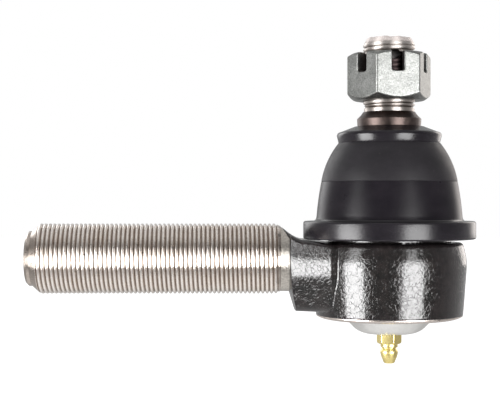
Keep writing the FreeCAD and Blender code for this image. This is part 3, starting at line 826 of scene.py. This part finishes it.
# ---- Cover plate and grease fitting ----
def make_cover():
    """Pressed cover plate: a flat rim and a dished dome with rounded bends."""
    top, foot = cover_high.z, COVER_FOOT
    dome_top = cover_low.z + COVER_THICKNESS
    edge = DOME_RADIUS - DOME_DRAFT
    corners = [
        (FITTING_BORE, cover_low.z, 0.2),
        (edge, cover_low.z, 8.0),
        (DOME_RADIUS + 0.6, foot, 1.6),
        (cover_high.x, foot, 0.3),
        (cover_high.x, top, 0.3),
        (SOCKET_RADIUS + 0.2, top, 0.05),
        (SOCKET_RADIUS - 0.1, top - SEAT_CLEARANCE, 0.05),
        (DOME_RADIUS, top - SEAT_CLEARANCE, 1.0),
        (edge - 0.8, dome_top, 6.0),
        (FITTING_BORE, dome_top, 0.2),
    ]
    satin = turned_steel("satin_steel", ((0.66, 0.65, 0.63), (0.8, 0.79, 0.77)), (0.36, 0.48), ring=0.8)
    outline = rounded(corners, 10)
    make_piece("domed_cover", *turned(outline), "housing", "cover_steel", satin, ["cover_plate"])


def prism_distance(points, centre_z, half_height, half_flats, first_normal, soft):
    """Distance to a six-sided prism along Z, one of whose faces has the given normal direction."""
    x, y, z = points.T
    sides = np.full(len(points), -1e9)
    for face in range(6):
        angle = first_normal + face * TURN / 6
        reach = x * math.cos(angle) + y * math.sin(angle) - half_flats
        sides = smooth_max(sides, reach, soft)
    return smooth_max(sides, np.abs(z - centre_z) - half_height, soft)


def fitting_distance(points):
    """The grease nipple: shank, hexagon, neck and button head with its inlet."""
    x, y, z = points.T
    radius = np.hypot(x, y)
    middle = (HEX_TOP + HEX_FOOT) / 2
    half = (HEX_TOP - HEX_FOOT) / 2
    hexagon = prism_distance(points, middle, half, HEX_HALF_FLATS, HEX_FACE_ANGLE, 0.25)
    hexagon = smooth_max(hexagon, half_plane(radius, z, HEX_CHAMFER, (0.62, -0.8)), 0.2)
    shank = bar_distance(radius, z, *FITTING_SHANK)
    neck = bar_distance(radius, z, *FITTING_NECK)
    shoulder = half_plane(radius, z, BUTTON_SHOULDER, (0.75, 0.66))
    cone = half_plane(radius, z, (BUTTON_RADIUS, BUTTON_WAIST), (0.93, -0.36))
    rim = smooth_max(radius - BUTTON_RADIUS, fitting_low.z - z, 0.3)
    button = smooth_max(smooth_max(shoulder, cone, 0.5), rim, 0.5)
    button = np.maximum(button, z - FITTING_NECK_FOOT)
    solid = smooth_min(np.minimum(hexagon, shank), smooth_min(neck, button, 0.5), 0.35)
    cup = np.hypot(radius, z - fitting_low.z + INLET_CUP_DEPTH) - INLET_CUP_RADIUS
    inlet = np.minimum(radius - INLET_RADIUS, cup)
    return np.maximum(solid, -inlet)


def make_fitting():
    """Straight grease nipple in yellow zinc plate."""
    points, faces = shaped(fitting_distance, FITTING_LOW, FITTING_HIGH, FITTING_CELL)
    tones = ((0.74, 0.57, 0.2), (0.97, 0.84, 0.38))
    plate = blasted_steel("yellow_zinc", *tones, 0.6, 0.012, (0.3, 0.42))
    make_piece("grease_nipple", points, faces, "housing", "yellow_zinc", plate, ["grease_fitting"], 50)


# ---- Dust boot ----
def make_boot():
    """Rubber boot: a flange on the head, a skirt and dome, and a lip."""
    glossy = boot_rubber("boot_rubber", (0.23, 0.27))
    satin = boot_rubber("boot_rubber_satin", (0.27, 0.33), 0.12)
    shiny = boot_rubber("boot_rubber_shiny", (0.2, 0.24))
    matte = boot_rubber("boot_rubber_matte", (0.46, 0.54))
    ring_low, ring_high = node_span("boot_base_ring")
    gap = 0.05
    bore = BOSS_RADIUS + BOOT_GAP
    flange = [
        (bore, FLANGE_FOOT, 0.3),
        (FLANGE_RADIUS, FLANGE_FOOT, 0.7),
        (FLANGE_RADIUS, FLANGE_TOP, 0.8),
        (BELL_FOOT[0] + 0.9, FLANGE_TOP, 0.9),
        (BELL_FOOT[0] + 0.1, FLANGE_TOP + 0.8, 0.4),
        (bore, FLANGE_TOP + 0.8, 0.3),
        (bore, ring_high.z + gap),
        (ring_high.x + gap, ring_high.z + gap),
        (ring_high.x + gap, ring_low.z - gap),
        (bore, ring_low.z - gap),
    ]
    make_piece("boot_flange", *turned(rounded(flange)), "housing", "boot_rubber", glossy)
    make_skirt(satin)
    make_dome(matte, shiny)


def inset(outline, wall):
    """The same line moved inwards by a wall, in reverse order."""
    line = np.array(outline)
    way = np.gradient(line, axis=0)
    way /= np.linalg.norm(way, axis=1, keepdims=True)
    inward = np.stack([-way[:, 1], way[:, 0]], axis=1)
    return [tuple(point) for point in (line + inward * wall)[::-1]]


def make_skirt(rubber):
    """Lower half of the boot, from the flange to the crease."""
    start = (BELL_FOOT[0] + 0.35, FLANGE_TOP + 0.25)
    bell = [start, BELL_FOOT, *bow(BELL_FOOT, BELL_CREASE, BELL_CURVE, 24), BELL_CREASE]
    outline = bell + inset(bell, BOOT_WALL)
    skirt = make_piece("boot_skirt", *turned(outline), None, "boot_rubber", rubber)
    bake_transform(skirt)


def make_dome(matte, shiny):
    """Upper half of the boot and the lip that seals on the taper."""
    crease = (BELL_CREASE[0] - 0.12, BELL_CREASE[1] + 0.02)
    edge = (BELL_CREASE[0] - 0.02, BELL_CREASE[1] + 0.22)
    dome = [crease, edge, *bow(edge, BELL_GROOVE, DOME_CURVE, 30), BELL_GROOVE]
    seal = TAPER_TOP_RADIUS - (TAPER_TOP - BOOT_LIP_HEIGHT) * TAPER_SLOPE + BOOT_GAP
    groove_radius, groove_height = BELL_GROOVE
    lip_side = (BOOT_LIP_RADIUS, BOOT_LIP_HEIGHT - BOOT_LIP_CURVE)
    lip_top = (BOOT_LIP_RADIUS - 1.2, BOOT_LIP_HEIGHT + 0.12)
    lip = [
        (groove_radius - 0.2, groove_height - 0.1),
        (groove_radius - 0.05, groove_height + 0.25),
        (groove_radius + 0.05, groove_height + 0.7),
        lip_side,
        *bow(lip_side, lip_top, BOOT_LIP_CURVE, 8),
        lip_top,
        (seal + 1.2, BOOT_TOP - 0.1),
        (seal + 0.4, BOOT_TOP),
        (seal, BOOT_TOP - 0.5),
        (seal - 0.3, BOOT_SEAL_FOOT),
        (seal + 0.6, BOOT_SEAL_FOOT - 0.8),
        (groove_radius - 3.0, groove_height - 1.6),
    ]
    shell = make_piece("boot_dome", *turned(dome + inset(dome, BOOT_WALL)), None, "boot_rubber", matte)
    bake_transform(shell)
    ring = make_piece("boot_lip", *turned(lip), None, "boot_rubber", shiny, ["dust_boot"])
    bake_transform(ring)


# ---- Ball stud and nut ----
def make_stud():
    """Ball, neck and oiled taper in one turned piece, and the bare thread with its cotter hole."""
    neck_join = (STUD_NECK_RADIUS, math.sqrt(BALL_RADIUS**2 - STUD_NECK_RADIUS**2))
    steps = np.radians(np.linspace(-90, math.degrees(math.atan2(neck_join[1], neck_join[0])), 64))
    ball = [(BALL_RADIUS * math.cos(angle), BALL_RADIUS * math.sin(angle)) for angle in steps]
    ball[0] = (0, -BALL_RADIUS)
    foot_radius = TAPER_TOP_RADIUS - (TAPER_TOP - TAPER_FOOT) * TAPER_SLOPE
    shoulder = bow((TAPER_TOP_RADIUS - 0.1, TAPER_TOP + 0.2), (STUD_RADIUS, STUD_SHOULDER), -9.0, 8)
    outline = [
        *ball,
        (STUD_NECK_RADIUS, STUD_NECK_HEIGHT),
        (foot_radius, TAPER_FOOT),
        (TAPER_TOP_RADIUS, TAPER_TOP),
        (TAPER_TOP_RADIUS - 0.1, TAPER_TOP + 0.2),
        *shoulder,
        (STUD_RADIUS, STUD_SHOULDER),
        (STUD_PLAIN_RADIUS - 0.4, STUD_SHOULDER),
        (0, STUD_SHOULDER),
    ]
    make_piece("stud_taper", *turned(outline), "stud", "stud_steel", taper_steel())
    make_stud_thread()


def stud_limit(height):
    """Largest radius of the stud's thread: a cone at its end and a short run-out at its shoulder."""
    end = STUD_END_RADIUS + (STUD_TOP - height) * (STUD_RADIUS - STUD_END_RADIUS) / STUD_END_CHAMFER
    foot = STUD_RADIUS - THREAD_DEPTH + (height - STUD_THREAD_FOOT) * 1.1
    return np.minimum(end, foot)


def make_stud_thread():
    """Bare threaded end of the stud, with a pip on its end face and the hole for a cotter pin."""
    thread = helix(STUD_THREAD_FOOT, STUD_TOP, STUD_RADIUS, stud_limit, STUD_PLAIN_END)
    rim = [(STUD_END_RADIUS, STUD_TOP), (PIP_RADIUS + 0.4, STUD_TOP - 0.15)]
    pip_top = STUD_TOP + PIP_HEIGHT
    cap = strip([*rim, (PIP_RADIUS, STUD_TOP + 0.2), (PIP_RADIUS - 0.5, pip_top), (0, pip_top)])
    root = (STUD_RADIUS - THREAD_DEPTH, STUD_THREAD_FOOT)
    plain = [(STUD_PLAIN_RADIUS, STUD_THREAD_FOOT - 0.5), (STUD_PLAIN_RADIUS, STUD_SHOULDER - 0.4)]
    base = strip([(0, STUD_SHOULDER - 0.4), plain[1], plain[0], root])
    points, faces = joined(thread, cap, base)
    points = ragged_end(points)
    # The first tone is painted shade for the thread roots.
    tones = ((0.14, 0.115, 0.1), (0.74, 0.69, 0.655), (0.82, 0.75, 0.7))
    steel = threaded_steel("bare_stud", "Z", STUD_RADIUS, tones, (0.46, 0.58), shaded_sheared_stud_end)
    piece = make_piece("stud_thread", points, faces, "stud", "stud_steel", steel, ["ball_stud"])
    drill_cotter_hole(piece)


def ragged_end(points):
    """Makes the sheared end face uneven, as cropped bar is."""
    above = points[:, 2] - STUD_TOP + RAGGED_LENGTH
    end = above > 0
    share = np.clip(above / RAGGED_LENGTH, 0, 1)
    height = np.array([noise.noise(Vector(point) / RAGGED_SIZE) for point in points[end]])
    points[end, 2] += np.minimum(height * 0.55 - 0.16, 0.0) * share[end]
    return points


def drill_cotter_hole(piece):
    """Cuts the cotter hole through the stud, where its mount says."""
    axis = Vector(cotter_mount["axis"])
    radius = cotter_mount["dims"]["r_mm"]
    length = STUD_RADIUS + 2
    points, faces = turned([(0, -length), (radius, -length), (radius, length), (0, length)], 48)
    turn = axis.to_track_quat("Z", "Y").to_matrix()
    points = points @ np.array(turn).T + np.array(cotter_mount["pos_m"]) / MM
    drill = make_piece("drill", points, faces, "stud", "stud_steel", piece.data.materials[0])
    cut = piece.modifiers.new("cotter_hole", "BOOLEAN")
    cut.object = drill
    cut.operation = "DIFFERENCE"
    cut.solver = "EXACT"
    graph = bpy.context.evaluated_depsgraph_get()
    drilled = bpy.data.meshes.new_from_object(piece.evaluated_get(graph))
    piece.modifiers.clear()
    piece.data = drilled
    drilled.shade_smooth()
    drilled.set_sharp_from_angle(angle=math.radians(30))
    bpy.data.objects.remove(drill)


def nut_distance(points):
    """The slotted nut: chamfered hexagon, six slots in its top, and a countersunk bore."""
    x, y, z = points.T
    radius = np.hypot(x, y)
    middle, half = (NUT_TOP + NUT_FOOT) / 2, (NUT_TOP - NUT_FOOT) / 2
    body = prism_distance(points, middle, half, NUT_HALF_FLATS, NUT_FACE_ANGLE, 0.45)
    top_radius, top_angle = NUT_TOP_CHAMFER
    foot_radius, foot_angle = NUT_FOOT_CHAMFER
    top = half_plane(radius, z, (top_radius, NUT_TOP), (math.sin(top_angle), math.cos(top_angle)))
    foot = half_plane(radius, z, (foot_radius, NUT_FOOT), (math.sin(foot_angle), -math.cos(foot_angle)))
    body = smooth_max(smooth_max(body, top, 0.35), foot, 0.35)
    sink = half_plane(radius, z, (NUT_SINK_RADIUS, NUT_TOP), (-0.7, 0.7))
    body = smooth_max(smooth_max(body, NUT_BORE_RADIUS - radius, 0.15), sink, 0.15)
    for slot in range(3):
        angle = NUT_FACE_ANGLE + slot * TURN / 6
        across = np.abs(y * math.cos(angle) - x * math.sin(angle))
        bottom = NUT_TOP - SLOT_DEPTH - z
        walls = smooth_max(across - SLOT_HALF_WIDTH, bottom, SLOT_CORNER)
        body = smooth_max(body, -walls, 0.3)
    return body


def make_nut():
    """Slotted hexagon nut in bright zinc plate."""
    low = (nut_low.x, nut_low.x, NUT_FOOT)
    high = (nut_high.x, nut_high.x, NUT_TOP)
    points, faces = shaped(nut_distance, low, high, NUT_CELL)
    points = roughened(points, nut_distance, amount=0.03, size=2.4, seed=5.0)
    tones = ((0.065, 0.068, 0.066), (0.375, 0.38, 0.365))
    plate = blasted_steel("zinc_plate", *tones, 0.5, 0.09, (0.36, 0.42))
    make_piece("castle_nut", points, faces, "nut", "zinc_plate", plate, ["slotted_nut"], 50)


# ---- Springs ----
def coil(low, high, wire, pitch, outer_radius, steps=48, sides=12):
    """Points and faces of a coil spring along Z, with closed wire ends."""
    radius = outer_radius - wire / 2
    rise = high - low - wire
    count = int(rise / pitch * steps) + 1
    share = np.linspace(0, 1, count)
    angle = share * rise / pitch * TURN
    centre = np.stack([np.cos(angle) * radius, np.sin(angle) * radius, low + wire / 2 + share * rise], 1)
    outward = np.stack([np.cos(angle), np.sin(angle), np.zeros(count)], 1)
    upward = np.array([0, 0, 1.0])
    turn = np.arange(sides) * TURN / sides
    ring = outward[:, None] * np.cos(turn)[:, None] + upward * np.sin(turn)[:, None]
    points = centre[:, None] + ring * wire / 2
    index = np.arange(count * sides).reshape(count, sides)
    beside = np.roll(index, -1, axis=1)
    faces = np.stack([index[:-1], beside[:-1], beside[1:], index[1:]], axis=-1).reshape(-1, 4).tolist()
    return points.reshape(-1, 3), faces + [index[0].tolist(), index[-1].tolist()]


def make_spring(name, node, wire, pitch, material):
    """A coil spring in place of its CAD node."""
    low, high = node_span(node)
    points, faces = coil(low.z, high.z, wire, pitch, high.x)
    spring = make_piece(name, points, faces, "housing", "spring_steel", material, [node])
    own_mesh(spring)


def make_springs():
    """The spring under the pressure seat, the grease valve's small one, and the valve's ball."""
    steel = turned_steel("spring_steel", ((0.34, 0.33, 0.33), (0.5, 0.49, 0.48)), (0.22, 0.34))
    make_spring("seat_spring", "preload_spring", 1.5, 1.9, steel)
    make_spring("valve_spring", "grease_valve_spring", 0.3, 0.75, steel)
    dress("grease_valve_ball", steel)


# ---- Hidden pieces keep their CAD shape ----
def dress(node, material):
    """Gives a CAD node a material."""
    mesh = frame["nodes"][node].data
    mesh.materials.clear()
    mesh.materials.append(material)


def dress_hidden_nodes():
    """Liners, pressure seat and base ring."""
    polymer = plain_polymer("bearing_polymer", (0.66, 0.6, 0.46), (0.78, 0.73, 0.6), (0.35, 0.5))
    sintered = blasted_steel("sintered_steel", (0.2, 0.19, 0.18), (0.4, 0.38, 0.36), 0.5, 0.04)
    bare = turned_steel("bare_ring", ((0.45, 0.42, 0.39), (0.6, 0.57, 0.54)), (0.3, 0.42))
    dress("upper_bearing_liner", polymer)
    dress("lower_bearing_liner", polymer)
    dress("pressure_seat", sintered)
    dress("boot_base_ring", bare)


# ---- Camera, lights and floor ----
CAMERA_PLACE = (-0.0504, -0.471, 0.0212)
CAMERA_LENS = 93.6
CAMERA_SENSOR = 36
FLOOR_HEIGHT = -0.17
FLOOR_REACH = 6.0


def make_camera():
    """A level view from the front, as far as a long lens stands off."""
    camera = bpy.data.objects.new("camera", bpy.data.cameras.new("camera"))
    camera.data.lens = CAMERA_LENS
    camera.data.sensor_width = CAMERA_SENSOR
    camera.location = CAMERA_PLACE
    camera.rotation_euler = (math.pi / 2, 0, 0)
    bpy.context.scene.collection.objects.link(camera)
    bpy.context.scene.camera = camera


def make_softbox(name, azimuth, height, distance, size, power, colour=(1, 1, 1)):
    """A rectangular light aimed at the ball. Azimuth 0 is the camera's side and 90 is +X."""
    light = bpy.data.lights.new(name, "AREA")
    light.shape = "RECTANGLE"
    light.size, light.size_y = size
    light.energy = power
    light.color = colour
    softbox = bpy.data.objects.new(name, light)
    turn = math.radians(azimuth)
    softbox.location = (distance * math.sin(turn), -distance * math.cos(turn), height)
    softbox.rotation_mode = "QUATERNION"
    softbox.rotation_quaternion = softbox.location.to_track_quat("Z", "Y")
    softbox.visible_camera = False
    bpy.context.scene.collection.objects.link(softbox)


def make_lights():
    """Two softboxes either side of the camera, each fading out upward, and two behind."""
    make_softbox("left_softbox", -59, -0.07, 0.62, (0.34, 0.31), 5.7)
    make_softbox("left_softbox_top", -59, 0.19, 0.62, (0.18, 0.2), 0.6)
    make_softbox("right_softbox", 29, -0.07, 0.62, (0.35, 0.31), 5.1)
    make_softbox("right_softbox_top", 29, 0.19, 0.62, (0.18, 0.2), 0.5)
    make_softbox("rear_left_softbox", -140, 0.25, 0.8, (0.4, 0.5), 1.6)
    make_softbox("rear_right_softbox", 140, 0.2, 0.8, (0.4, 0.5), 1.35, (1.0, 0.93, 0.88))


def make_world():
    """A white studio: bright behind the part, and dimmer on the camera's side to give gloss depth."""
    world = bpy.data.worlds.new("studio")
    world.use_nodes = True
    tree = world.node_tree
    tree.nodes.clear()
    way = add_node(tree, "ShaderNodeTexCoord").outputs["Generated"]
    sides = add_node(tree, "ShaderNodeSeparateXYZ", {"Vector": way}).outputs
    walls = remapped(tree, sides["Y"], -0.35, 0.45, 0.17, 0.56)
    below = remapped(tree, sides["Z"], -0.85, -0.3, 1.0, 0.0)
    above = remapped(tree, sides["Z"], 0.55, 0.95, 0.0, 0.8)
    room = combined(tree, "MAXIMUM", walls, combined(tree, "MAXIMUM", above, below))
    seen = add_node(tree, "ShaderNodeLightPath").outputs["Is Camera Ray"]
    strength = combined(tree, "MAXIMUM", room, seen)
    light = add_node(tree, "ShaderNodeBackground", {"Color": (1, 1, 1, 1), "Strength": strength})
    output = add_node(tree, "ShaderNodeOutputWorld")
    tree.links.new(light.outputs[0], output.inputs["Surface"])
    bpy.context.scene.world = world
    bpy.context.scene.view_settings.view_transform = "Standard"


def make_floor():
    """A plain pale floor."""
    mesh = bpy.data.meshes.new("floor")
    corners = [(x * FLOOR_REACH, y * FLOOR_REACH, 0) for x, y in ((-1, -1), (1, -1), (1, 1), (-1, 1))]
    mesh.from_pydata(corners, [], [(0, 1, 2, 3)])
    glow = {"Emission Color": (1, 1, 1, 1), "Emission Strength": 0.75}
    material, tree, shader = new_material("floor", Roughness=0.9, **glow)
    tone = ramp(tree, grain(tree, 60.0, 2.0), [(0.3, (0.9, 0.9, 0.9)), (0.7, (0.93, 0.93, 0.93))])
    tree.links.new(tone, shader.inputs["Base Color"])
    mesh.materials.append(material)
    floor = bpy.data.objects.new("floor", mesh)
    floor.location.z = FLOOR_HEIGHT
    floor.visible_glossy = False
    bpy.context.scene.collection.objects.link(floor)


make_camera()
make_lights()
make_world()
make_floor()
make_forging()
make_shank()
make_neck()
make_lip()
make_cover()
make_fitting()
make_boot()
make_stud()
make_nut()
make_springs()
dress_hidden_nodes()
